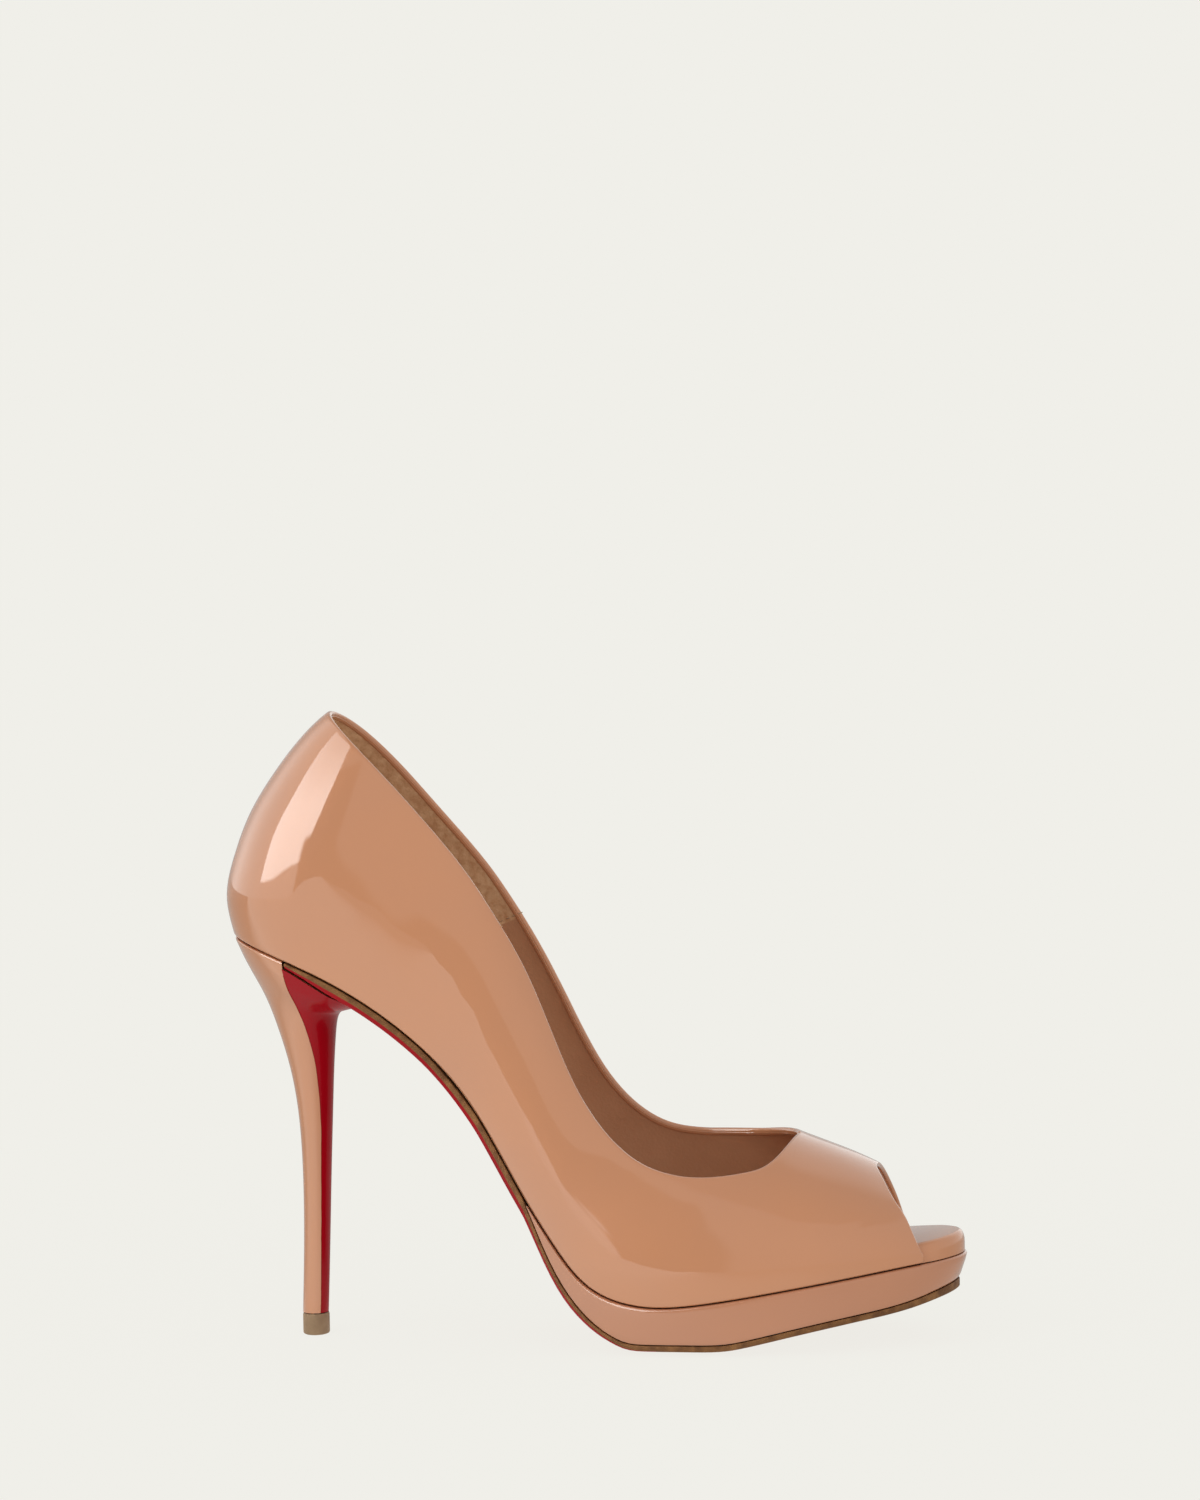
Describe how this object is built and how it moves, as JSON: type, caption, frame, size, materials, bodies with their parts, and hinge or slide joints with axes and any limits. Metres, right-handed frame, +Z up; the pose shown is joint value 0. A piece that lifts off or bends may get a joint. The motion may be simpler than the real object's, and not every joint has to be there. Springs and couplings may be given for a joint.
{
  "type": "peep toe pump",
  "caption": "Right-foot platform pump with a peep toe, a hollow patent upper and a tall slim heel.",
  "frame": {"origin": "middle of the shoe's footprint box, on the floor the shoe stands on", "axes": "+X points to the toe along the shoe's length, +Y to the inner side of the foot, +Z up"},
  "size_m": [0.2144, 0.0767, 0.1828],
  "materials": {
    "patent": "gloss patent",
    "sock": "smooth",
    "platform_cover": "gloss patent",
    "sole": "lacquered",
    "heel_cover": "gloss patent",
    "breast_cover": "lacquered",
    "lift_rubber": "matt"
  },
  "bodies": {
    "root": {"upper": "patent", "insole": "sock", "platform": "platform_cover", "outsole": "sole", "heel": "heel_cover", "heel_breast": "breast_cover", "top_lift": "lift_rubber"}
  },
  "joints": []
}
